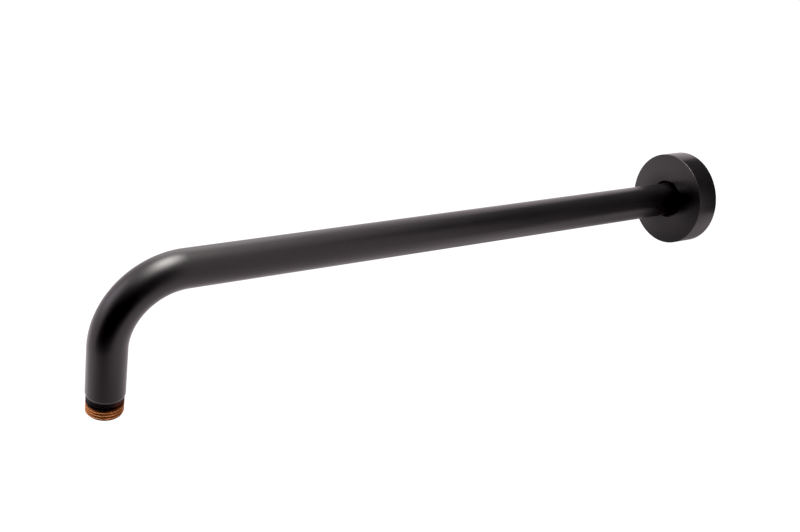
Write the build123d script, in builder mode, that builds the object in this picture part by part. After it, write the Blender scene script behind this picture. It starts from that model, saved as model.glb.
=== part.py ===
"""Wall-mounted shower arm: a bent round tube with a threaded nipple brazed into each end,
and a round cover flange that slides and turns on the tube and is gripped by an O-ring.

Frame: the origin is on the arm's axis in the plane of the wall. +Y goes into the wall,
the arm reaches out along -Y and its outlet points down along -Z. All sizes are in millimetres.
"""

import os

from build123d import *

# Arm tube
tube_diameter = 22.0
tube_wall = 1.5
reach = 420.0  # wall to the outlet's axis
bend_radius = 42.0  # at the tube's centreline
drop = 72.0  # arm's axis down to the tube's outlet end
tube_setback = 3.0  # wall back to the tube's inlet end
rim_taper_height = 1.4  # turned taper that leads the outlet rim down to the thread
rim_taper_depth = 0.5
tube_deburr = 0.3

# Pipe thread of half-inch size, drawn at its major diameter, and the nipples that carry it
thread_diameter = 20.955
thread_lead_in = 1.0
outlet_thread_length = 11.5
inlet_thread_length = 18.0
nipple_bore = 14.5
nipple_plug_length = 12.0  # part of a nipple that sits inside the tube
nipple_bore_chamfer = 0.6
braze_gap = 0.05

# Cover flange, a turned cup that is open towards the wall
flange_diameter = 62.0
flange_depth = 16.0
flange_plate = 3.0  # thickness of the front plate
flange_rim_wall = 2.5
flange_edge_chamfer = 0.5
bore_clearance = 0.2  # around the tube
bore_edge_chamfer = 0.4
hub_wall = 3.0  # around the O-ring's groove

# O-ring, in its squeezed size, in a groove in the flange's bore
o_ring_section = 2.2
o_ring_gap = 0.05  # to the tube and to the groove's floor
groove_side_gap = 0.3
groove_front_land = 2.6
groove_rear_land = 2.2
o_ring_facets = 12  # flats that stand for the section's round

# Worked out from the sizes above
tube_radius = tube_diameter / 2
tube_bore_radius = tube_radius - tube_wall
thread_radius = thread_diameter / 2
nipple_bore_radius = nipple_bore / 2
nipple_plug_radius = tube_bore_radius - braze_gap
flange_radius = flange_diameter / 2
flange_bore_radius = tube_radius + bore_clearance
rim_inner_radius = flange_radius - flange_rim_wall
o_ring_radius = tube_radius + o_ring_gap + o_ring_section / 2
groove_radius = o_ring_radius + o_ring_section / 2 + o_ring_gap
groove_width = o_ring_section + 2 * groove_side_gap
hub_radius = groove_radius + hub_wall
hub_depth = groove_front_land + groove_width + groove_rear_land

# Places along the arm's axis, measured from the wall
flange_front = -flange_depth
plate_back = flange_front + flange_plate
groove_front = flange_front + groove_front_land
groove_back = groove_front + groove_width
hub_back = flange_front + hub_depth
o_ring_centre = (groove_front + groove_back) / 2

outlet_end = Plane(origin=(0, -reach, -drop), x_dir=(1, 0, 0), z_dir=(0, 0, -1))
inlet_end = Plane(origin=(0, -tube_setback, 0), x_dir=(1, 0, 0), z_dir=(0, 1, 0))


def turned_nipple(tube_end, thread_length):
    """A nipple whose shoulder seats on tube_end: its thread stands out along the plane's normal
    and its plug goes the other way, into the tube."""
    thread_end = tube_end.offset(thread_length)
    outward = Axis(tube_end.origin, tube_end.z_dir)
    with BuildPart() as nipple:
        with BuildSketch(tube_end):
            Circle(thread_radius)
        extrude(amount=thread_length)
        with BuildSketch(tube_end):
            Circle(nipple_plug_radius)
        extrude(amount=-nipple_plug_length)
        with BuildSketch(thread_end):
            Circle(nipple_bore_radius)
        extrude(amount=-(thread_length + nipple_plug_length), mode=Mode.SUBTRACT)
        end_edges = nipple.faces().sort_by(outward)[-1].edges().sort_by(SortBy.RADIUS)
        chamfer(end_edges[0], nipple_bore_chamfer)
        chamfer(end_edges[-1], thread_lead_in)
    return nipple


# Arm tube: one length of tube, bent once
with BuildPart() as arm_tube:
    with BuildLine(Plane.YZ) as arm_centreline:
        FilletPolyline((-tube_setback, 0), (-reach, 0), (-reach, -drop), radius=bend_radius)
    with BuildSketch(Plane.XZ.offset(tube_setback)):
        Circle(tube_radius)
        Circle(tube_bore_radius, mode=Mode.SUBTRACT)
    sweep(path=arm_centreline.line)
    outlet_face = arm_tube.faces().sort_by(Axis.Z)[0]
    outlet_rim = outlet_face.edges().sort_by(SortBy.RADIUS)[-1]
    chamfer(outlet_rim, length=rim_taper_depth, length2=rim_taper_height, reference=outlet_face)
    inlet_face = arm_tube.faces().sort_by(Axis.Y)[-1]
    chamfer(inlet_face.edges().sort_by(SortBy.RADIUS)[-1], tube_deburr)
arm_tube.part.label = "arm_tube"

# Nipples: the outlet's takes a shower head, the inlet's goes into the fitting in the wall
outlet_nipple = turned_nipple(outlet_end, outlet_thread_length)
outlet_nipple.part.label = "outlet_nipple"
inlet_nipple = turned_nipple(inlet_end, inlet_thread_length)
inlet_nipple.part.label = "inlet_nipple"

# Cover flange: a turned cup with a hub that guides it on the tube
with BuildPart() as cover_flange:
    with BuildSketch(Plane.YZ):
        with BuildLine():
            Polyline(
                (0, rim_inner_radius),
                (0, flange_radius),
                (flange_front, flange_radius),
                (flange_front, flange_bore_radius),
                (hub_back, flange_bore_radius),
                (hub_back, hub_radius),
                (plate_back, hub_radius),
                (plate_back, rim_inner_radius),
                close=True,
            )
        make_face()
    revolve(axis=Axis.Y)
    front_edges = cover_flange.edges().group_by(Axis.Y)[0].sort_by(SortBy.RADIUS)
    chamfer(front_edges[0], bore_edge_chamfer)
    chamfer(front_edges[-1], flange_edge_chamfer)
    with BuildSketch(Plane.YZ):
        with Locations((o_ring_centre, (flange_bore_radius + groove_radius) / 2)):
            Rectangle(groove_width, groove_radius - flange_bore_radius)
    revolve(axis=Axis.Y, mode=Mode.SUBTRACT)
cover_flange.part.label = "cover_flange"

# O-ring: grips the tube, so that the flange stays where it is pushed
with BuildPart() as flange_o_ring:
    with BuildSketch(Plane.YZ):
        with Locations((o_ring_centre, o_ring_radius)):
            RegularPolygon(
                o_ring_section / 2, o_ring_facets, major_radius=False, rotation=180 / o_ring_facets
            )
    revolve(axis=Axis.Y)
flange_o_ring.part.label = "flange_o_ring"

os.makedirs("parts", exist_ok=True)
for piece in (arm_tube, outlet_nipple, inlet_nipple, cover_flange, flange_o_ring):
    export_step(piece.part, f"parts/{piece.part.label}.step")
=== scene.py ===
"""Looks of the wall-mounted shower arm: black coated tube and cover flange, bare brass pipe threads,
a plain white studio and a camera that looks down along the arm from beside its outlet.

All lengths are in metres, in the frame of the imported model: +Y into the wall, +Z up.
"""

import math

import bpy
from mathutils import Matrix, Vector


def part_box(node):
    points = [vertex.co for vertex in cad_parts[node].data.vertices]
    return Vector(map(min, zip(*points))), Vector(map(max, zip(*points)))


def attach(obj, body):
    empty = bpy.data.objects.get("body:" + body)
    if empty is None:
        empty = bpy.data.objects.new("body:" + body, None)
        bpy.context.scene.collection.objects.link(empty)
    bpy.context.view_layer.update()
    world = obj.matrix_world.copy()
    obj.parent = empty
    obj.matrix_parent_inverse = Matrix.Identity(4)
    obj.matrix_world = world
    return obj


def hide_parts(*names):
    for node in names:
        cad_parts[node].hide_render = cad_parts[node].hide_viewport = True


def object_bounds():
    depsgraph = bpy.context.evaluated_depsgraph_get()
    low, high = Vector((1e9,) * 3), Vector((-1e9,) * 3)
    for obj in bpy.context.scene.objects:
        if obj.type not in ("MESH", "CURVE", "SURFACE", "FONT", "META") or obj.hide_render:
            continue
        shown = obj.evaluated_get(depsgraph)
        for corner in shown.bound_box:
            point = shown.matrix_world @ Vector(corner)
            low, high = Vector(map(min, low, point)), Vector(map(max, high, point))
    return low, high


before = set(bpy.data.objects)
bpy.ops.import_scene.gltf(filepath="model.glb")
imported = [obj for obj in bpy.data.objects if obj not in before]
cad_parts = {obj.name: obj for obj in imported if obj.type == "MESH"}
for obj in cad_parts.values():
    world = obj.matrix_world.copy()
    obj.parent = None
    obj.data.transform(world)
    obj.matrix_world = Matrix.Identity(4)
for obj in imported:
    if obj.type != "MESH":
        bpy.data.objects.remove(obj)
cad_low, cad_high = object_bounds()

MM = 0.001

# Modelling: vertices nearer than this are one, and faces that meet flatter than this shade as one
SAME_PLACE = 0.002 * MM
SMOOTH_ANGLE = math.radians(32)

# Arm tube: its diameter, ends and outlet come from its box, the rest is named here
TUBE_WALL = 1.5 * MM
BEND_RADIUS = 42.0 * MM
RIM_TAPER_HEIGHT = 1.4 * MM
RIM_TAPER_DEPTH = 0.5 * MM
RIM_ROUND = 0.15 * MM
RIM_ROUND_STEPS = 3
RIM_ROUND_ANGLE = math.radians(12)
TUBE_SIDES = 128
BEND_STEPS = 64

# Cover flange: its diameter and depth come from its box
FLANGE_PLATE = 3.0 * MM
FLANGE_RIM_WALL = 2.5 * MM
FLANGE_EDGE = 0.5 * MM
FLANGE_BORE_GAP = 0.2 * MM
FLANGE_MOUTH_GAP = 1.6 * MM
FLANGE_MOUTH_EDGE = 0.3 * MM
FLANGE_EDGE_STEPS = 6
FLANGE_SIDES = 256
HUB_WALL = 3.0 * MM
HUB_DEPTH = 7.6 * MM
GROOVE_FRONT_LAND = 2.6 * MM
GROOVE_WIDTH = 2.8 * MM
GROOVE_DEPTH = 2.1 * MM

# Half-inch pipe thread and the nipples that carry it
THREAD_PITCH = 1.814 * MM
THREAD_DEPTH = 1.162 * MM
THREAD_CREST = 0.26 * MM
THREAD_ROOT = 0.22 * MM
THREAD_LEAD_IN = 1.0 * MM
THREAD_RUN_OUT_TURNS = 0.6
OUTLET_THREAD_START_TURNS = 0.92
INLET_THREAD_START_TURNS = 0.5
CUTTER_OVERSHOOT = 0.1 * MM
CUT_MERGE_GAP = 0.005 * MM
NIPPLE_BORE_RADIUS = 7.25 * MM
NIPPLE_BORE_CHAMFER = 0.6 * MM
NIPPLE_PLUG_GAP = 0.05 * MM
NIPPLE_SIDES = 128

# Cloudy noise runs from 0 to 1, but most of it lies in this span
NOISE_SPAN = (0.3, 0.7)
NOISE_MIDDLE = 0.5

# Black coating
COATING_DARK = (0.0005, 0.00045, 0.0005)
COATING_LIGHT = (0.0011, 0.001, 0.0011)
COATING_CLOUD = 30 * MM
TUBE_ROUGHNESS = (0.315, 0.355)
FLANGE_ROUGHNESS = (0.245, 0.285)
COATING_GRAIN = 0.5 * MM
COATING_GRAIN_DEPTH = 0.02 * MM

# Bare brass, with painted shade in the thread's roots: darker and more orange there than at the crests
BRASS_CREST = (0.49, 0.24, 0.11)
BRASS_ROOT_SHADE = (0.41, 0.145, 0.032)
BRASS_CREST_STAIN = (0.41, 0.18, 0.072)
BRASS_ROOT_SHADE_STAIN = (0.33, 0.105, 0.02)
BRASS_ROOT_RADIUS = 9.5 * MM
BRASS_CREST_RADIUS = 10.4 * MM
BRASS_TARNISH_CLOUD = 5 * MM
BRASS_TARNISH_SPAN = (0.35, 0.7)
BRASS_ROUGHNESS = (0.58, 0.68)
BRASS_TURNING_PITCH = 0.25 * MM
BRASS_TURNING_DEPTH = 0.003 * MM

# Overspray: the coating that strayed onto the brass, and how far from the tube's end it reaches
OVERSPRAY_BLACK = (0.007, 0.006, 0.006)
OVERSPRAY_THIN = (0.06, 0.017, 0.006)
OVERSPRAY_THIN_SIDE = (0.6, -0.8, 0)
OVERSPRAY_THIN_FROM = 6.0 * MM
OVERSPRAY_SHINE = 0.12
OVERSPRAY_CLOUD = 3 * MM
OVERSPRAY_RAGGED = 1.8 * MM
OVERSPRAY_FADE = 0.5 * MM
OUTLET_OVERSPRAY = 5.0 * MM
INLET_OVERSPRAY = 1.6 * MM

# Seal rubber
RUBBER_DARK = (0.009, 0.009, 0.009)
RUBBER_LIGHT = (0.018, 0.018, 0.018)
RUBBER_BLOOM = 2 * MM
RUBBER_ROUGHNESS = (0.5, 0.7)

# Camera, as fitted to the photograph's outlines
CAMERA_TARGET = Vector((-44.07, -210.45, -65.41)) * MM
CAMERA_DISTANCE = 769.76 * MM
CAMERA_AZIMUTH = math.radians(53.015)
CAMERA_ELEVATION = math.radians(28.751)
CAMERA_ROLL = math.radians(10.16)
CAMERA_LENS = 52.031
CAMERA_SENSOR = 36.0
CAMERA_SHIFT = (0.0175, 0.0285)
CAMERA_CLIP = 10 * MM
BLACK_LEVEL = 0.0045

# Studio: whites and blacks, a floor well below the arm, and the light from all round
WHITE = (1, 1, 1)
WARM_WHITE = (1.03, 1.005, 0.965)
LILAC_WHITE = (1.005, 0.96, 1.04)
PINK_WHITE = (1.07, 0.943, 0.993)
CARD_BLACK = 0.002
CARD_GREY = 0.096
FLOOR_DROP = 1.25
FLOOR_SIZE = 60.0
FLOOR_GLOW = 1.09
FLOOR_TINT_LIFT = 10 * MM
WORLD_GLOW = 1.104
STUDIO_MIDDLE = Vector((0, -0.25, -0.02))

# Level softboxes overhead: a small one, and just above it a wide one that spreads its edges
OVERHEAD_PLACE = Vector((-0.164, -0.437, 1.2))
OVERHEAD_TURN = math.radians(-7.5)
OVERHEAD_SIZE = (0.575, 0.534)
OVERHEAD_RADIANCE = 9.25
SPREAD_LIFT = 1 * MM
SPREAD_SIZE = (1.318, 0.534)
SPREAD_RADIANCE = 8.87

# Square softboxes turned to the arm's middle, with azimuth and elevation in degrees
AIMED_SOFTBOXES = {
    "left_softbox": dict(
        azimuth=240, elevation=22.7, distance=1.25, size=0.678, radiance=1.69, colour=LILAC_WHITE
    ),
    "rear_softbox": dict(
        azimuth=167.8, elevation=34.5, distance=1.25, size=0.793, radiance=1.22, colour=WHITE
    ),
    "low_softbox": dict(
        azimuth=208, elevation=-32.8, distance=1.1, size=0.56, radiance=0.42, colour=LILAC_WHITE
    ),
}

# Upright cards, whose left and right sides have an azimuth in degrees and a distance
CARDS = {
    "camera_card": dict(left=(269.1, 1.1), right=(365, 1.06), bottom=-0.444, top=0.947, albedo=CARD_BLACK),
    "wall_card": dict(left=(47.7, 1.1), right=(118.3, 1.05), bottom=-0.21, top=1.056, albedo=CARD_GREY),
}

# Painted shade under the arm: level dark sheets close to it, which cast no shadow and are seen only in its
# reflections, and which are strongest in this share of their middle
PAINTED_SHADE_SHEETS = {
    "flange_painted_shade": dict(place=(0.007, 0.013, -0.036), size=(0.096, 0.365), strength=0.645),
    "side_painted_shade": dict(place=(0.123, -0.038, -0.042), size=(0.196, 0.267), strength=0.495),
    "run_painted_shade": dict(place=(-0.046, -0.166, -0.042), size=(0.135, 0.332), strength=0.85),
    "outlet_painted_shade": dict(place=(0.03, -0.425, -0.088), size=(0.1, 0.15), strength=0.35),
}
PAINTED_SHADE_MIDDLE_SHARE = 0.2


# Modelling helpers

def start_modelling():
    if bpy.context.object and bpy.context.object.mode != "OBJECT":
        bpy.ops.object.mode_set(mode="OBJECT")
    bpy.ops.object.select_all(action="DESELECT")


def pick(piece):
    start_modelling()
    bpy.context.view_layer.objects.active = piece
    piece.select_set(True)


def select_vertices(piece, chosen):
    """Selects, in edit mode, the vertices whose place is chosen."""
    bpy.ops.object.mode_set(mode="OBJECT")
    for part in (piece.data.polygons, piece.data.edges):
        for item in part:
            item.select = False
    for vertex in piece.data.vertices:
        vertex.select = bool(chosen(vertex.co))
    bpy.ops.object.mode_set(mode="EDIT")
    bpy.ops.mesh.select_mode(type="VERT")


def draw_chain(name, points, closed=False):
    """Edges through the points, drawn in edit mode from one vertex by extruding it along."""
    start_modelling()
    bpy.ops.mesh.primitive_plane_add(size=1 * MM, location=(0, 0, 0))
    chain = bpy.context.object
    chain.name = name
    bpy.ops.object.mode_set(mode="EDIT")
    bpy.ops.mesh.select_all(action="SELECT")
    bpy.ops.mesh.merge(type="CENTER")
    bpy.ops.transform.translate(value=points[0])
    for here, there in zip(points, points[1:]):
        bpy.ops.mesh.extrude_region_move(TRANSFORM_OT_translate={"value": there - here})
    if closed:
        ends = (points[0], points[-1])
        select_vertices(chain, lambda place: any((place - end).length < SAME_PLACE for end in ends))
        bpy.ops.mesh.edge_face_add()
    bpy.ops.object.mode_set(mode="OBJECT")
    return chain


def close_skin():
    """Merges the doubles of the mesh in edit mode, turns its faces outwards and leaves edit mode."""
    bpy.ops.mesh.select_all(action="SELECT")
    bpy.ops.mesh.remove_doubles(threshold=SAME_PLACE)
    bpy.ops.mesh.normals_make_consistent(inside=False)
    bpy.ops.object.mode_set(mode="OBJECT")


def turn_on_lathe(name, section, steps):
    """A closed turned solid about Z: section holds (radius, height) corners, in order round the wall."""
    piece = draw_chain(name, [Vector((r, 0, z)) for r, z in section + section[:1]])
    bpy.ops.object.mode_set(mode="EDIT")
    bpy.ops.mesh.select_all(action="SELECT")
    bpy.ops.mesh.spin(steps=steps, angle=2 * math.pi, center=(0, 0, 0), axis=(0, 0, 1))
    close_skin()
    return piece


def rounded(corner, before, after, size):
    """Points of a quarter round at a square corner of a lathe section, from one side to the other."""
    corner, before, after = Vector(corner), Vector(before), Vector(after)
    back = (before - corner).normalized() * size
    on = (after - corner).normalized() * size
    centre = corner + back + on
    turns = [math.pi / 2 * step / FLANGE_EDGE_STEPS for step in range(FLANGE_EDGE_STEPS + 1)]
    return [tuple(centre - on * math.cos(turn) - back * math.sin(turn)) for turn in turns]


def round_edges(piece, width, steps, angle):
    """Rounds the edges at which the faces turn by more than the angle."""
    pick(piece)
    bevel = piece.modifiers.new("round", "BEVEL")
    bevel.width = width
    bevel.segments = steps
    bevel.limit_method = "ANGLE"
    bevel.angle_limit = angle
    bpy.ops.object.modifier_apply(modifier=bevel.name)


def smooth_faces(piece):
    pick(piece)
    bpy.ops.object.shade_smooth_by_angle(angle=SMOOTH_ANGLE)


def put(piece, turn_about_x, place):
    """Turns a piece that was modelled about Z, moves it to its place and leaves its object at the origin."""
    pick(piece)
    piece.rotation_euler = (turn_about_x, 0, 0)
    piece.location = place
    bpy.ops.object.transform_apply(location=True, rotation=True, scale=True)


def finish_piece(piece, material, body, node):
    piece.data.materials.clear()
    piece.data.materials.append(material)
    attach(piece, body)
    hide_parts(node)


def round_radius(node):
    """Radius of a round piece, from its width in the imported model."""
    low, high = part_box(node)
    return (high.x - low.x) / 2


# Arm tube

def bent_tube(material):
    """The tube's skin, drawn as one ring that is pushed along the arm, round the bend and down to the
    outlet, over the rim and back inside to the inlet."""
    low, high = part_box("arm_tube")
    radius = round_radius("arm_tube")
    bore = radius - TUBE_WALL
    outlet_y = low.y + radius
    bend_y = outlet_y + BEND_RADIUS
    start_modelling()
    bpy.ops.mesh.primitive_circle_add(
        vertices=TUBE_SIDES, radius=radius, location=(0, high.y, 0), rotation=(math.pi / 2, 0, 0)
    )
    tube = bpy.context.object
    tube.name = "bent_tube"
    bpy.ops.object.transform_apply(location=True, rotation=True, scale=True)
    bpy.ops.object.mode_set(mode="EDIT")
    bpy.ops.mesh.select_all(action="SELECT")

    def push(y=0.0, z=0.0):
        bpy.ops.mesh.extrude_region_move(TRANSFORM_OT_translate={"value": (0, y, z)})

    def bend(angle):
        centre = (0, bend_y, -BEND_RADIUS)
        bpy.ops.mesh.spin(steps=BEND_STEPS, angle=angle, center=centre, axis=(1, 0, 0))

    def narrow(share, axis_place):
        bpy.ops.transform.resize(value=(share, share, 1), center_override=axis_place)

    push(y=bend_y - high.y)
    bend(-math.pi / 2)
    push(z=low.z + RIM_TAPER_HEIGHT + BEND_RADIUS)
    push(z=-RIM_TAPER_HEIGHT)
    rim_centre = (0, outlet_y, low.z)
    narrow((radius - RIM_TAPER_DEPTH) / radius, rim_centre)
    push()
    narrow(bore / (radius - RIM_TAPER_DEPTH), rim_centre)
    push(z=-BEND_RADIUS - low.z)
    bend(math.pi / 2)
    push(y=high.y - bend_y)
    select_vertices(tube, lambda place: abs(place.y - high.y) < SAME_PLACE)
    bpy.ops.mesh.bridge_edge_loops()
    close_skin()
    round_edges(tube, RIM_ROUND, RIM_ROUND_STEPS, RIM_ROUND_ANGLE)
    smooth_faces(tube)
    finish_piece(tube, material, "arm", "arm_tube")


# Cover flange

def turned_flange(material):
    """The cup about Z, with its front face up: rim, front, a wide mouth that shows the seal ring in its
    groove, the close bore behind it, hub and hollow back."""
    low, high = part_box("cover_flange")
    radius = round_radius("cover_flange")
    depth = high.y - low.y
    tube = round_radius("arm_tube")
    bore = tube + FLANGE_BORE_GAP
    mouth = tube + FLANGE_MOUTH_GAP
    groove = bore + GROOVE_DEPTH
    hub = groove + HUB_WALL
    rim = radius - FLANGE_RIM_WALL
    plate = depth - FLANGE_PLATE
    hub_back = depth - HUB_DEPTH
    groove_front = depth - GROOVE_FRONT_LAND
    groove_back = groove_front - GROOVE_WIDTH
    section = [(rim, 0), (radius, 0)]
    section += rounded((radius, depth), (radius, 0), (mouth, depth), FLANGE_EDGE)
    section += rounded((mouth, depth), (radius, depth), (mouth, 0), FLANGE_MOUTH_EDGE)
    section += [
        (mouth, groove_front),
        (groove, groove_front),
        (groove, groove_back),
        (bore, groove_back),
        (bore, hub_back),
        (hub, hub_back),
        (hub, plate),
        (rim, plate),
    ]
    flange = turn_on_lathe("turned_flange", section, FLANGE_SIDES)
    smooth_faces(flange)
    put(flange, math.pi / 2, (0, high.y, 0))
    finish_piece(flange, material, "flange", "cover_flange")


# Nipples

def thread_cutter(thread_radius, lowest, highest):
    """A helical V of one pitch to the turn, from lowest up to highest, that runs out at its lower end."""
    mouth = THREAD_PITCH - THREAD_CREST
    slope = (mouth - THREAD_ROOT) / 2 / THREAD_DEPTH
    outer = thread_radius + CUTTER_OVERSHOOT
    inner = thread_radius - THREAD_DEPTH
    half_root = THREAD_ROOT / 2
    half_mouth = mouth / 2 + CUTTER_OVERSHOOT * slope
    section = [
        Vector((inner, 0, lowest - half_root)),
        Vector((inner, 0, lowest + half_root)),
        Vector((outer, 0, lowest + half_mouth)),
        Vector((outer, 0, lowest - half_mouth)),
    ]
    cutter = draw_chain("thread_cutter", section, closed=True)
    screw = cutter.modifiers.new("thread", "SCREW")
    screw.axis = "Z"
    screw.angle = 2 * math.pi
    screw.screw_offset = THREAD_PITCH
    screw.iterations = math.ceil((highest - lowest) / THREAD_PITCH)
    screw.steps = screw.render_steps = NIPPLE_SIDES
    screw.use_merge_vertices = False
    bpy.ops.object.modifier_apply(modifier=screw.name)
    run_out = THREAD_RUN_OUT_TURNS * NIPPLE_SIDES
    for vertex in cutter.data.vertices:
        step = vertex.index // len(section)
        if step < run_out:
            radius = math.hypot(vertex.co.x, vertex.co.y)
            lift = (1 - step / run_out) * THREAD_DEPTH
            vertex.co.xy *= (radius + lift) / radius
    bpy.ops.object.mode_set(mode="EDIT")
    bpy.ops.mesh.select_all(action="SELECT")
    bpy.ops.mesh.fill_holes(sides=len(section))
    bpy.ops.mesh.normals_make_consistent(inside=False)
    bpy.ops.object.mode_set(mode="OBJECT")
    return cutter


def cut(piece, cutter):
    """Takes the cutter's shape out of the piece and clears the slivers that this leaves."""
    pick(piece)
    groove = piece.modifiers.new("groove", "BOOLEAN")
    groove.operation = "DIFFERENCE"
    groove.solver = "EXACT"
    groove.object = cutter
    bpy.ops.object.modifier_apply(modifier=groove.name)
    bpy.data.objects.remove(cutter)
    bpy.ops.object.mode_set(mode="EDIT")
    bpy.ops.mesh.select_all(action="SELECT")
    bpy.ops.mesh.remove_doubles(threshold=CUT_MERGE_GAP)
    bpy.ops.mesh.dissolve_degenerate(threshold=SAME_PLACE)
    bpy.ops.object.mode_set(mode="OBJECT")


def threaded_nipple(name, node, thread_length, plug_length, start_turns):
    """A brass nipple about Z: its plug goes down into the tube, and its thread stands up from height 0."""
    thread_radius = round_radius(node)
    plug_radius = round_radius("arm_tube") - TUBE_WALL - NIPPLE_PLUG_GAP
    section = [
        (NIPPLE_BORE_RADIUS, -plug_length),
        (plug_radius, -plug_length),
        (plug_radius, 0),
        (thread_radius, 0),
        (thread_radius, thread_length - THREAD_LEAD_IN),
        (thread_radius - THREAD_LEAD_IN, thread_length),
        (NIPPLE_BORE_RADIUS + NIPPLE_BORE_CHAMFER, thread_length),
        (NIPPLE_BORE_RADIUS, thread_length - NIPPLE_BORE_CHAMFER),
    ]
    nipple = turn_on_lathe(name, section, NIPPLE_SIDES)
    lowest = THREAD_PITCH * start_turns
    cut(nipple, thread_cutter(thread_radius, lowest, thread_length + THREAD_PITCH))
    smooth_faces(nipple)
    return nipple


def outlet_nipple():
    low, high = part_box("outlet_nipple")
    tube_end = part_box("arm_tube")[0].z
    nipple = threaded_nipple(
        "outlet_thread", "outlet_nipple", tube_end - low.z, high.z - tube_end, OUTLET_THREAD_START_TURNS
    )
    place = Vector((0, (low.y + high.y) / 2, tube_end))
    put(nipple, math.pi, place)
    brass = bare_brass("outlet_brass", place, math.pi, OUTLET_OVERSPRAY)
    finish_piece(nipple, brass, "arm", "outlet_nipple")


def inlet_nipple():
    low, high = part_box("inlet_nipple")
    tube_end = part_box("arm_tube")[1].y
    nipple = threaded_nipple(
        "inlet_thread", "inlet_nipple", high.y - tube_end, tube_end - low.y, INLET_THREAD_START_TURNS
    )
    place = Vector((0, tube_end, 0))
    put(nipple, -math.pi / 2, place)
    brass = bare_brass("inlet_brass", place, math.pi / 2, INLET_OVERSPRAY)
    finish_piece(nipple, brass, "arm", "inlet_nipple")


# Material helpers

def new_material(name):
    material = bpy.data.materials.new(name)
    material.use_nodes = True
    return material


def shader_of(material):
    return material.node_tree.nodes["Principled BSDF"]


def object_place(tree, end=Vector((0, 0, 0)), turn_about_x=0.0):
    """Place on the piece or, where a tube's end is given, in a frame whose Z runs out along its axis."""
    coordinates = tree.nodes.new("ShaderNodeTexCoord")
    local = tree.nodes.new("ShaderNodeMapping")
    turn = Matrix.Rotation(turn_about_x, 3, "X")
    local.inputs["Rotation"].default_value = (turn_about_x, 0, 0)
    local.inputs["Location"].default_value = -(turn @ end)
    tree.links.new(coordinates.outputs["Object"], local.inputs["Vector"])
    return local.outputs["Vector"]


def height_and_radius(tree, place):
    """Height of a place along Z, and its distance from that axis."""
    split = tree.nodes.new("ShaderNodeSeparateXYZ")
    flat = tree.nodes.new("ShaderNodeCombineXYZ")
    reach = tree.nodes.new("ShaderNodeVectorMath")
    reach.operation = "LENGTH"
    tree.links.new(place, split.inputs["Vector"])
    tree.links.new(split.outputs["X"], flat.inputs["X"])
    tree.links.new(split.outputs["Y"], flat.inputs["Y"])
    tree.links.new(flat.outputs["Vector"], reach.inputs[0])
    return split.outputs["Z"], reach.outputs["Value"]


def noise(tree, place, size, detail):
    """Cloudy noise, 0 to 1, whose largest clouds are about the given size across."""
    texture = tree.nodes.new("ShaderNodeTexNoise")
    texture.inputs["Scale"].default_value = 1 / size
    texture.inputs["Detail"].default_value = detail
    tree.links.new(place, texture.inputs["Vector"])
    return texture.outputs["Fac"]


def ramp(tree, value, low, high, to_low=0.0, to_high=1.0):
    """Maps a value smoothly from low..high to to_low..to_high."""
    step = tree.nodes.new("ShaderNodeMapRange")
    step.interpolation_type = "SMOOTHSTEP"
    step.inputs["From Min"].default_value = low
    step.inputs["From Max"].default_value = high
    step.inputs["To Min"].default_value = to_low
    step.inputs["To Max"].default_value = to_high
    tree.links.new(value, step.inputs["Value"])
    return step.outputs["Result"]


def colours(tree, share, first, second):
    """Blends two colours, or two colour outputs, by a share from 0 to 1."""
    blend = tree.nodes.new("ShaderNodeMix")
    blend.data_type = "RGBA"
    tree.links.new(share, blend.inputs["Factor"])
    for socket, colour in ((blend.inputs["A"], first), (blend.inputs["B"], second)):
        if isinstance(colour, tuple):
            socket.default_value = (*colour, 1)
        else:
            tree.links.new(colour, socket)
    return blend.outputs["Result"]


def numbers(tree, operation, first, second):
    """One sum of two values, each a number or an output."""
    step = tree.nodes.new("ShaderNodeMath")
    step.operation = operation
    for socket, value in zip(step.inputs, (first, second)):
        if isinstance(value, (int, float)):
            socket.default_value = value
        else:
            tree.links.new(value, socket)
    return step.outputs["Value"]


def bump(tree, height, depth):
    relief = tree.nodes.new("ShaderNodeBump")
    relief.inputs["Distance"].default_value = depth
    tree.links.new(height, relief.inputs["Height"])
    return relief.outputs["Normal"]


# Finishes

def black_coating(name, glossy, matt):
    """Satin black coating: deep black with faint clouds, a little uneven in gloss, with a fine grain."""
    material = new_material(name)
    shader = shader_of(material)
    tree = material.node_tree
    place = object_place(tree)
    clouds = noise(tree, place, COATING_CLOUD, detail=4)
    grain = noise(tree, place, COATING_GRAIN, detail=2)
    colour = colours(tree, clouds, COATING_DARK, COATING_LIGHT)
    roughness = ramp(tree, clouds, *NOISE_SPAN, glossy, matt)
    tree.links.new(colour, shader.inputs["Base Color"])
    tree.links.new(roughness, shader.inputs["Roughness"])
    tree.links.new(bump(tree, grain, COATING_GRAIN_DEPTH), shader.inputs["Normal"])
    return material


def brass_metal(tree, radius, tarnish):
    """Colour of the bare brass, with painted shade in the thread's roots, darker and browner there, and
    darker where it is tarnished.
    """
    # Painted shade: the colour darkens from the crests down into the thread's roots
    crest = ramp(tree, radius, BRASS_ROOT_RADIUS, BRASS_CREST_RADIUS)
    clean = colours(tree, crest, BRASS_ROOT_SHADE, BRASS_CREST)
    stained = colours(tree, crest, BRASS_ROOT_SHADE_STAIN, BRASS_CREST_STAIN)
    return colours(tree, tarnish, clean, stained)


def bare_share(tree, place, height, overspray):
    """0 under the overspray and 1 past its ragged edge."""
    clouds = noise(tree, place, OVERSPRAY_CLOUD, detail=5)
    specks = numbers(tree, "SUBTRACT", clouds, NOISE_MIDDLE)
    ragged = numbers(tree, "MULTIPLY", specks, OVERSPRAY_RAGGED)
    past_edge = numbers(tree, "ADD", height, ragged)
    return ramp(tree, past_edge, overspray - OVERSPRAY_FADE, overspray + OVERSPRAY_FADE)


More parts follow.
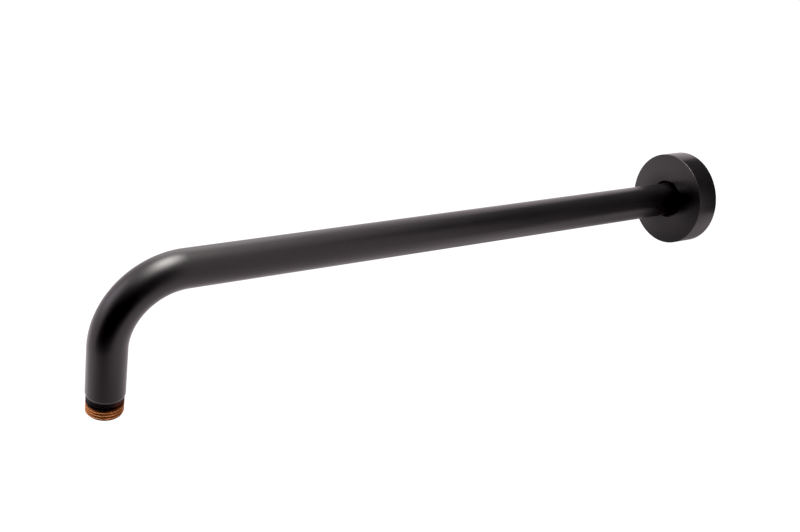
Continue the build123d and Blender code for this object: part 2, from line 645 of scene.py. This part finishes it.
def overspray_colour(tree, place):
    """Colour of the overspray, black all round apart from one side, where it is thin and brown."""
    side = tree.nodes.new("ShaderNodeVectorMath")
    side.operation = "DOT_PRODUCT"
    side.inputs[1].default_value = OVERSPRAY_THIN_SIDE
    tree.links.new(place, side.inputs[0])
    thin = ramp(tree, side.outputs["Value"], OVERSPRAY_THIN_FROM, BRASS_ROOT_RADIUS)
    return colours(tree, thin, OVERSPRAY_BLACK, OVERSPRAY_THIN)


def turning_marks(tree, height):
    """Fine rings that a lathe tool leaves round the nipple."""
    rings = tree.nodes.new("ShaderNodeTexNoise")
    rings.noise_dimensions = "1D"
    rings.inputs["Scale"].default_value = 1 / BRASS_TURNING_PITCH
    tree.links.new(height, rings.inputs["W"])
    return bump(tree, rings.outputs["Fac"], BRASS_TURNING_DEPTH)


def bare_brass(name, tube_end, turn_about_x, overspray):
    """Turned brass, under dry black overspray for some way from the tube's end."""
    material = new_material(name)
    shader = shader_of(material)
    tree = material.node_tree
    place = object_place(tree, tube_end, turn_about_x)
    height, radius = height_and_radius(tree, place)
    tarnish = ramp(tree, noise(tree, place, BRASS_TARNISH_CLOUD, detail=4), *BRASS_TARNISH_SPAN)
    metal = brass_metal(tree, radius, tarnish)
    bare = bare_share(tree, place, height, overspray)
    colour = colours(tree, bare, overspray_colour(tree, place), metal)
    tree.links.new(colour, shader.inputs["Base Color"])
    tree.links.new(bare, shader.inputs["Metallic"])
    tree.links.new(ramp(tree, tarnish, 0, 1, *BRASS_ROUGHNESS), shader.inputs["Roughness"])
    tree.links.new(turning_marks(tree, height), shader.inputs["Normal"])
    shader.inputs["Specular IOR Level"].default_value = OVERSPRAY_SHINE
    return material


def seal_rubber():
    """Black rubber with a dusty, slightly uneven bloom."""
    material = new_material("ring_rubber")
    shader = shader_of(material)
    tree = material.node_tree
    bloom = noise(tree, object_place(tree), RUBBER_BLOOM, detail=4)
    tree.links.new(colours(tree, bloom, RUBBER_DARK, RUBBER_LIGHT), shader.inputs["Base Color"])
    tree.links.new(ramp(tree, bloom, *NOISE_SPAN, *RUBBER_ROUGHNESS), shader.inputs["Roughness"])
    return material


def dress_node(node, material):
    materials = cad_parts[node].data.materials
    materials.clear()
    materials.append(material)


def matt_material(name, albedo):
    material = new_material(name)
    shader = shader_of(material)
    shader.inputs["Base Color"].default_value = (albedo, albedo, albedo, 1)
    shader.inputs["Roughness"].default_value = 1
    shader.inputs["Specular IOR Level"].default_value = 0
    return material


# Studio

def glowing_floor(name, height, colour):
    start_modelling()
    bpy.ops.mesh.primitive_plane_add(size=FLOOR_SIZE, location=(0, 0, height))
    floor = bpy.context.object
    floor.name = name
    material = matt_material(name, 0)
    shader = shader_of(material)
    shader.inputs["Emission Color"].default_value = (*colour, 1)
    shader.inputs["Emission Strength"].default_value = FLOOR_GLOW
    floor.data.materials.append(material)
    return floor


def studio_floor():
    """A plain white floor, and a faintly pink one just above it, which the camera doesn't see."""
    height = cad_low.z - FLOOR_DROP
    glowing_floor("studio_floor", height, WHITE)
    tint = glowing_floor("floor_tint", height + FLOOR_TINT_LIFT, PINK_WHITE)
    tint.visible_camera = False


def around(azimuth, elevation, distance):
    """A place round the arm's middle: azimuth from +X towards +Y and elevation, in degrees."""
    a, e = math.radians(azimuth), math.radians(elevation)
    level = distance * math.cos(e)
    return STUDIO_MIDDLE + Vector((level * math.cos(a), level * math.sin(a), distance * math.sin(e)))


def soft_light(name, place, turn, size, radiance, colour):
    """A rectangular softbox whose face has the given radiance."""
    light = bpy.data.lights.new(name, "AREA")
    light.color = colour
    light.shape = "RECTANGLE"
    light.size, light.size_y = size
    light.energy = radiance * math.pi * size[0] * size[1]
    lamp = bpy.data.objects.new(name, light)
    lamp.location = place
    lamp.rotation_euler = turn
    lamp.visible_camera = False
    bpy.context.scene.collection.objects.link(lamp)


def aimed_light(name, azimuth, elevation, distance, size, radiance, colour):
    """A square softbox turned to the arm's middle."""
    place = around(azimuth, elevation, distance)
    turn = (STUDIO_MIDDLE - place).to_track_quat("-Z", "Y").to_euler()
    soft_light(name, place, turn, (size, size), radiance, colour)


def upright_card(name, left, right, bottom, top, albedo):
    """A matt card between two azimuths at their distances, which the part sees and the camera doesn't."""
    near, far = (around(azimuth, 0, distance) for azimuth, distance in (left, right))
    corners = [(near, bottom), (far, bottom), (far, top), (near, top)]
    card = draw_chain(name, [Vector((*place.xy, height)) for place, height in corners], closed=True)
    bpy.ops.object.mode_set(mode="EDIT")
    bpy.ops.mesh.select_all(action="SELECT")
    bpy.ops.mesh.edge_face_add()
    bpy.ops.object.mode_set(mode="OBJECT")
    card.data.materials.append(matt_material(name, albedo))
    card.visible_camera = False


def painted_shade_sheet(name, place, size, strength):
    """A level dark sheet of painted shade that fades out towards its edges, which the part sees in its
    reflections and the camera doesn't; it casts no shadow.
    """
    start_modelling()
    bpy.ops.mesh.primitive_plane_add(size=1, location=place)
    shade_sheet = bpy.context.object
    shade_sheet.name = name
    shade_sheet.scale = (*size, 1)
    half_size = 0.5
    material = matt_material(name, CARD_BLACK)
    tree = material.node_tree
    across = tree.nodes.new("ShaderNodeTexCoord")
    centred = tree.nodes.new("ShaderNodeMapping")
    centred.inputs["Scale"].default_value = (1 / half_size, 1 / half_size, 0)
    fade = tree.nodes.new("ShaderNodeTexGradient")
    fade.gradient_type = "SPHERICAL"
    cover = ramp(tree, fade.outputs["Fac"], 0, 1 - PAINTED_SHADE_MIDDLE_SHARE, 0, strength)
    tree.links.new(across.outputs["Object"], centred.inputs["Vector"])
    tree.links.new(centred.outputs["Vector"], fade.inputs["Vector"])
    tree.links.new(cover, shader_of(material).inputs["Alpha"])
    shade_sheet.data.materials.append(material)
    shade_sheet.visible_camera = False
    shade_sheet.visible_shadow = False


def studio_light():
    turn = (0, 0, OVERHEAD_TURN)
    above = OVERHEAD_PLACE + Vector((0, 0, SPREAD_LIFT))
    soft_light("overhead_softbox", OVERHEAD_PLACE, turn, OVERHEAD_SIZE, OVERHEAD_RADIANCE, WARM_WHITE)
    soft_light("overhead_spread", above, turn, SPREAD_SIZE, SPREAD_RADIANCE, WARM_WHITE)
    for name, softbox in AIMED_SOFTBOXES.items():
        aimed_light(name, **softbox)
    for name, card in CARDS.items():
        upright_card(name, **card)
    # Painted shade: dark sheets under the arm that darken what its reflections show
    for name, shade_sheet in PAINTED_SHADE_SHEETS.items():
        painted_shade_sheet(name, **shade_sheet)
    world = bpy.data.worlds.new("studio")
    world.use_nodes = True
    sky = world.node_tree.nodes["Background"]
    sky.inputs["Color"].default_value = (*PINK_WHITE, 1)
    sky.inputs["Strength"].default_value = WORLD_GLOW
    bpy.context.scene.world = world


def photo_tones():
    """Plain tones with the deepest blacks closed up, as in the photograph."""
    view = bpy.context.scene.view_settings
    view.view_transform = "Standard"
    view.use_curve_mapping = True
    view.curve_mapping.black_level = (BLACK_LEVEL, BLACK_LEVEL, BLACK_LEVEL)
    view.curve_mapping.update()


def photo_camera():
    azimuth, elevation = CAMERA_AZIMUTH, CAMERA_ELEVATION
    back = Vector((
        math.sin(azimuth) * math.cos(elevation),
        -math.cos(azimuth) * math.cos(elevation),
        math.sin(elevation),
    ))
    level = Vector((math.cos(azimuth), math.sin(azimuth), 0))
    upright = back.cross(level)
    right = math.cos(CAMERA_ROLL) * level + math.sin(CAMERA_ROLL) * upright
    up = back.cross(right)
    turn = Matrix((right, up, back)).transposed().to_4x4()
    lens = bpy.data.cameras.new("photo_camera")
    lens.lens = CAMERA_LENS
    lens.sensor_width = CAMERA_SENSOR
    lens.shift_x, lens.shift_y = CAMERA_SHIFT
    lens.clip_start = CAMERA_CLIP
    camera = bpy.data.objects.new("photo_camera", lens)
    camera.matrix_world = Matrix.Translation(CAMERA_TARGET + back * CAMERA_DISTANCE) @ turn
    bpy.context.scene.collection.objects.link(camera)
    bpy.context.scene.camera = camera


bent_tube(black_coating("tube_black", *TUBE_ROUGHNESS))
turned_flange(black_coating("flange_black", *FLANGE_ROUGHNESS))
outlet_nipple()
inlet_nipple()
dress_node("flange_o_ring", seal_rubber())

studio_floor()
studio_light()
photo_camera()
photo_tones()
